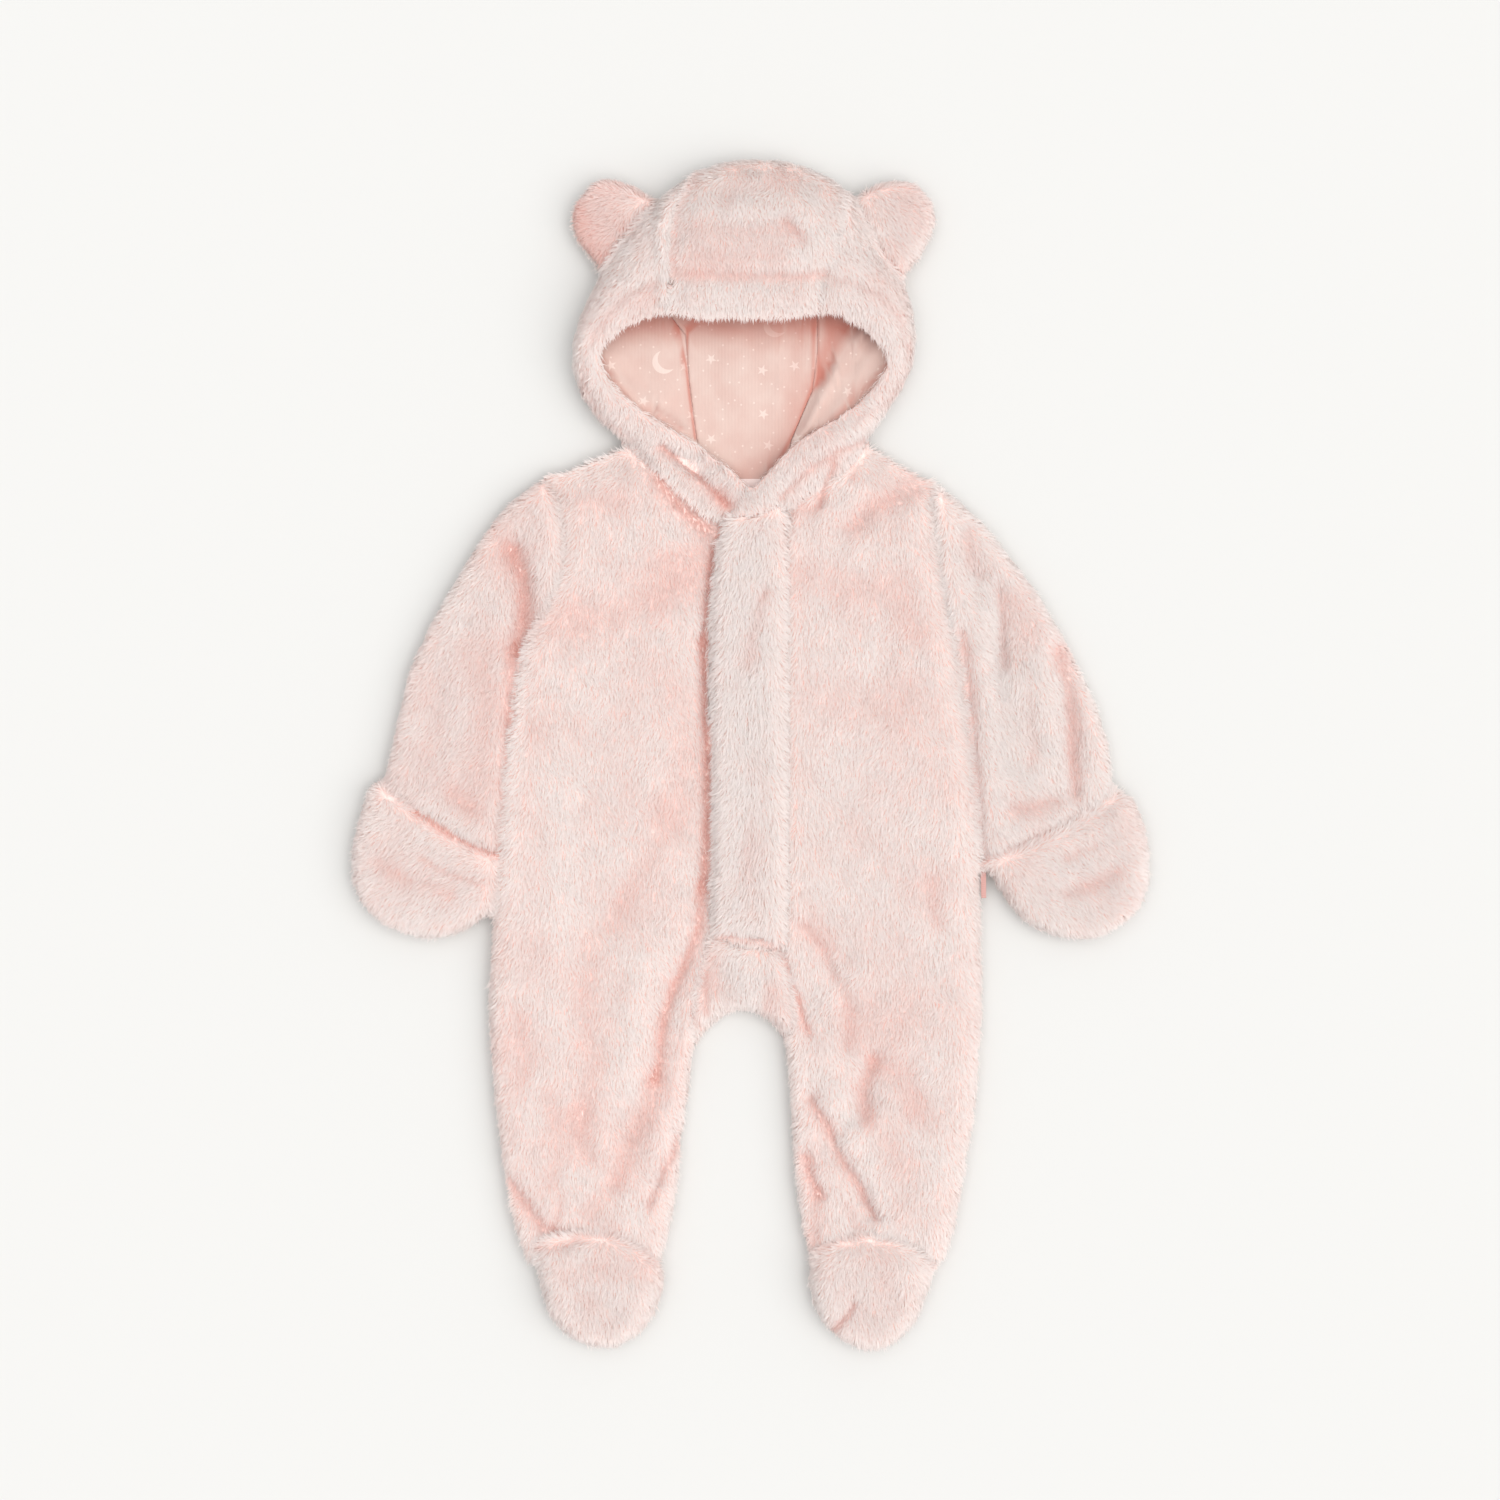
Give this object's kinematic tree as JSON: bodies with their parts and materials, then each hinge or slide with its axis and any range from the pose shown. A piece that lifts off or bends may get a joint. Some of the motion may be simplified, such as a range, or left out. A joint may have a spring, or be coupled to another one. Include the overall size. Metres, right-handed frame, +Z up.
{
  "type": "footed baby sleepsuit",
  "caption": "Hooded footed baby all-in-one in long pile plush, laid flat on its back, with round ears, fold-over mitts, front placket and jersey hood lining",
  "frame": {"origin": "centre of the underside's bounding box, on the surface that the garment lies on", "axes": "+Z up out of the front, +Y towards the head, +X towards the wearer's left arm"},
  "size_m": [0.5192, 0.7756, 0.0458],
  "materials": {
    "plush": "long pile plush fleece, pale pink, nap brushed downwards",
    "jersey": "single jersey, pink with small cream stars, moons and dots",
    "satin": "bare woven label"
  },
  "bodies": {
    "root": {"back": "plush", "front_right": "plush", "front_left": "plush", "placket": "plush", "crotch_gusset": "plush", "sleeve_right": "plush", "sleeve_left": "plush", "mitt_palm_right": "plush", "mitt_flap_right": "plush", "mitt_palm_left": "plush", "mitt_flap_left": "plush", "foot_sole_right": "plush", "foot_vamp_right": "plush", "foot_sole_left": "plush", "foot_vamp_left": "plush", "hood_centre": "plush", "hood_side_right": "plush", "hood_side_left": "plush", "ear_front_right": "plush", "ear_back_right": "plush", "ear_front_left": "plush", "ear_back_left": "plush", "lining_centre": "jersey", "lining_side_right": "jersey", "lining_side_left": "jersey", "neck_label": "satin", "side_label": "satin"}
  },
  "joints": []
}
